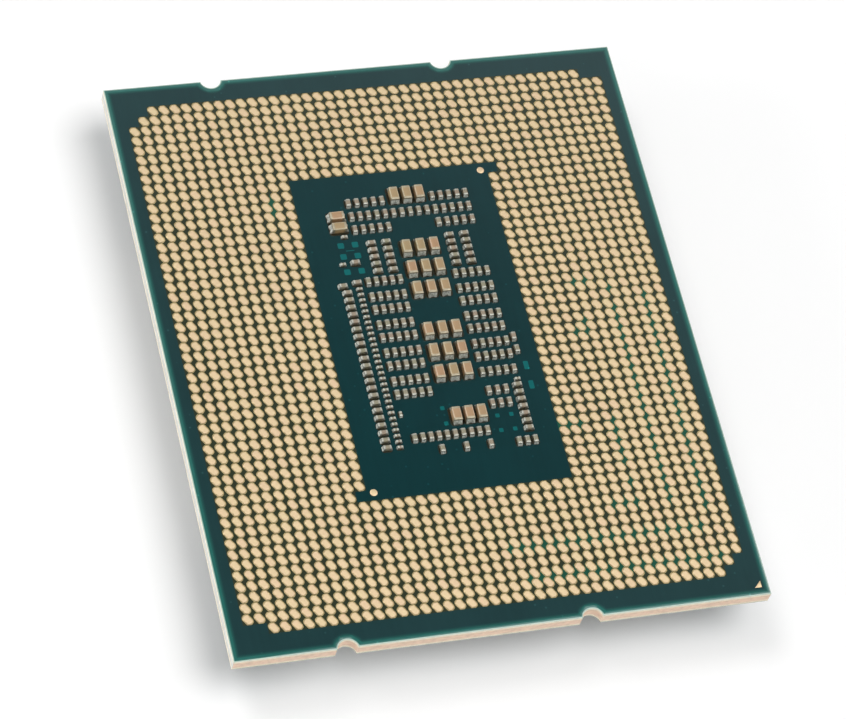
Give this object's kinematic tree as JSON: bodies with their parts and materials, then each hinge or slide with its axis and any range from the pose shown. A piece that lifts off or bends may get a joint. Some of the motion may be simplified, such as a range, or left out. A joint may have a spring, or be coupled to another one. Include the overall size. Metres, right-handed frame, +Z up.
{
  "type": "cpu processor",
  "caption": "Desktop processor in a land grid package: laminated board with gold contact lands and capacitors, soldered die and nickel-plated heat spreader.",
  "frame": {"origin": "middle of the heat spreader's flat contact face, which the processor lies on", "axes": "+Z up out of the contact lands, +Y along the package's long side, away from the edge with the contact one marker, +X across it"},
  "size_m": [0.0376, 0.045, 0.0049],
  "materials": {
    "nickel_plating": "nickel plated copper, fine matte",
    "silicone_sealant": "black silicone adhesive",
    "indium_solder": "soft grey solder",
    "silicon": "polished silicon",
    "underfill_epoxy": "filled epoxy",
    "glass_epoxy_core": "cut glass and epoxy laminate",
    "buildup_film": "epoxy build-up film",
    "copper_foil": "plated copper",
    "solder_mask": "dark teal solder mask, satin",
    "gold_plating": "gold over nickel, satin",
    "tin_plating": "tin plated end cap",
    "capacitor_ceramic": "fired tan ceramic",
    "chip_ceramic": "fired tan ceramic with tinned ends"
  },
  "bodies": {
    "root": {"contact_lands_left": "gold_plating", "contact_lands_lower": "gold_plating", "contact_lands_right": "gold_plating", "contact_lands_upper": "gold_plating", "contact_one_marker": "gold_plating", "die_side_buildup": "buildup_film", "die_side_copper_plane": "copper_foil", "die_side_solder_mask": "solder_mask", "die_underfill": "underfill_epoxy", "fiducial_pads": "gold_plating", "heat_spreader": "nickel_plating", "land_side_buildup": "buildup_film", "land_side_copper_plane": "copper_foil", "land_side_solder_mask": "solder_mask", "large_capacitor_end_caps_bottom": "tin_plating", "large_capacitor_end_caps_corner_pair": "tin_plating", "large_capacitor_end_caps_middle_block": "tin_plating", "large_capacitor_end_caps_top": "tin_plating", "large_capacitor_end_caps_upper_block": "tin_plating", "large_capacitors_bottom": "capacitor_ceramic", "large_capacitors_corner_pair": "capacitor_ceramic", "large_capacitors_middle_block": "capacitor_ceramic", "large_capacitors_top": "capacitor_ceramic", "large_capacitors_upper_block": "capacitor_ceramic", "lid_sealant": "silicone_sealant", "processor_die": "silicon", "small_capacitors_bottom_row": "chip_ceramic", "small_capacitors_corner_single": "chip_ceramic", "small_capacitors_left_block": "chip_ceramic", "small_capacitors_left_column": "chip_ceramic", "small_capacitors_lower_right": "chip_ceramic", "small_capacitors_right_block": "chip_ceramic", "small_capacitors_right_column": "chip_ceramic", "small_capacitors_top_rows": "chip_ceramic", "small_capacitors_upper_left_columns": "chip_ceramic", "small_capacitors_upper_right_columns": "chip_ceramic", "substrate_core": "glass_epoxy_core", "thermal_solder": "indium_solder", "tiny_capacitors_column": "chip_ceramic", "tiny_capacitors_lone_upright": "chip_ceramic", "tiny_capacitors_singles": "chip_ceramic"}
  },
  "joints": []
}
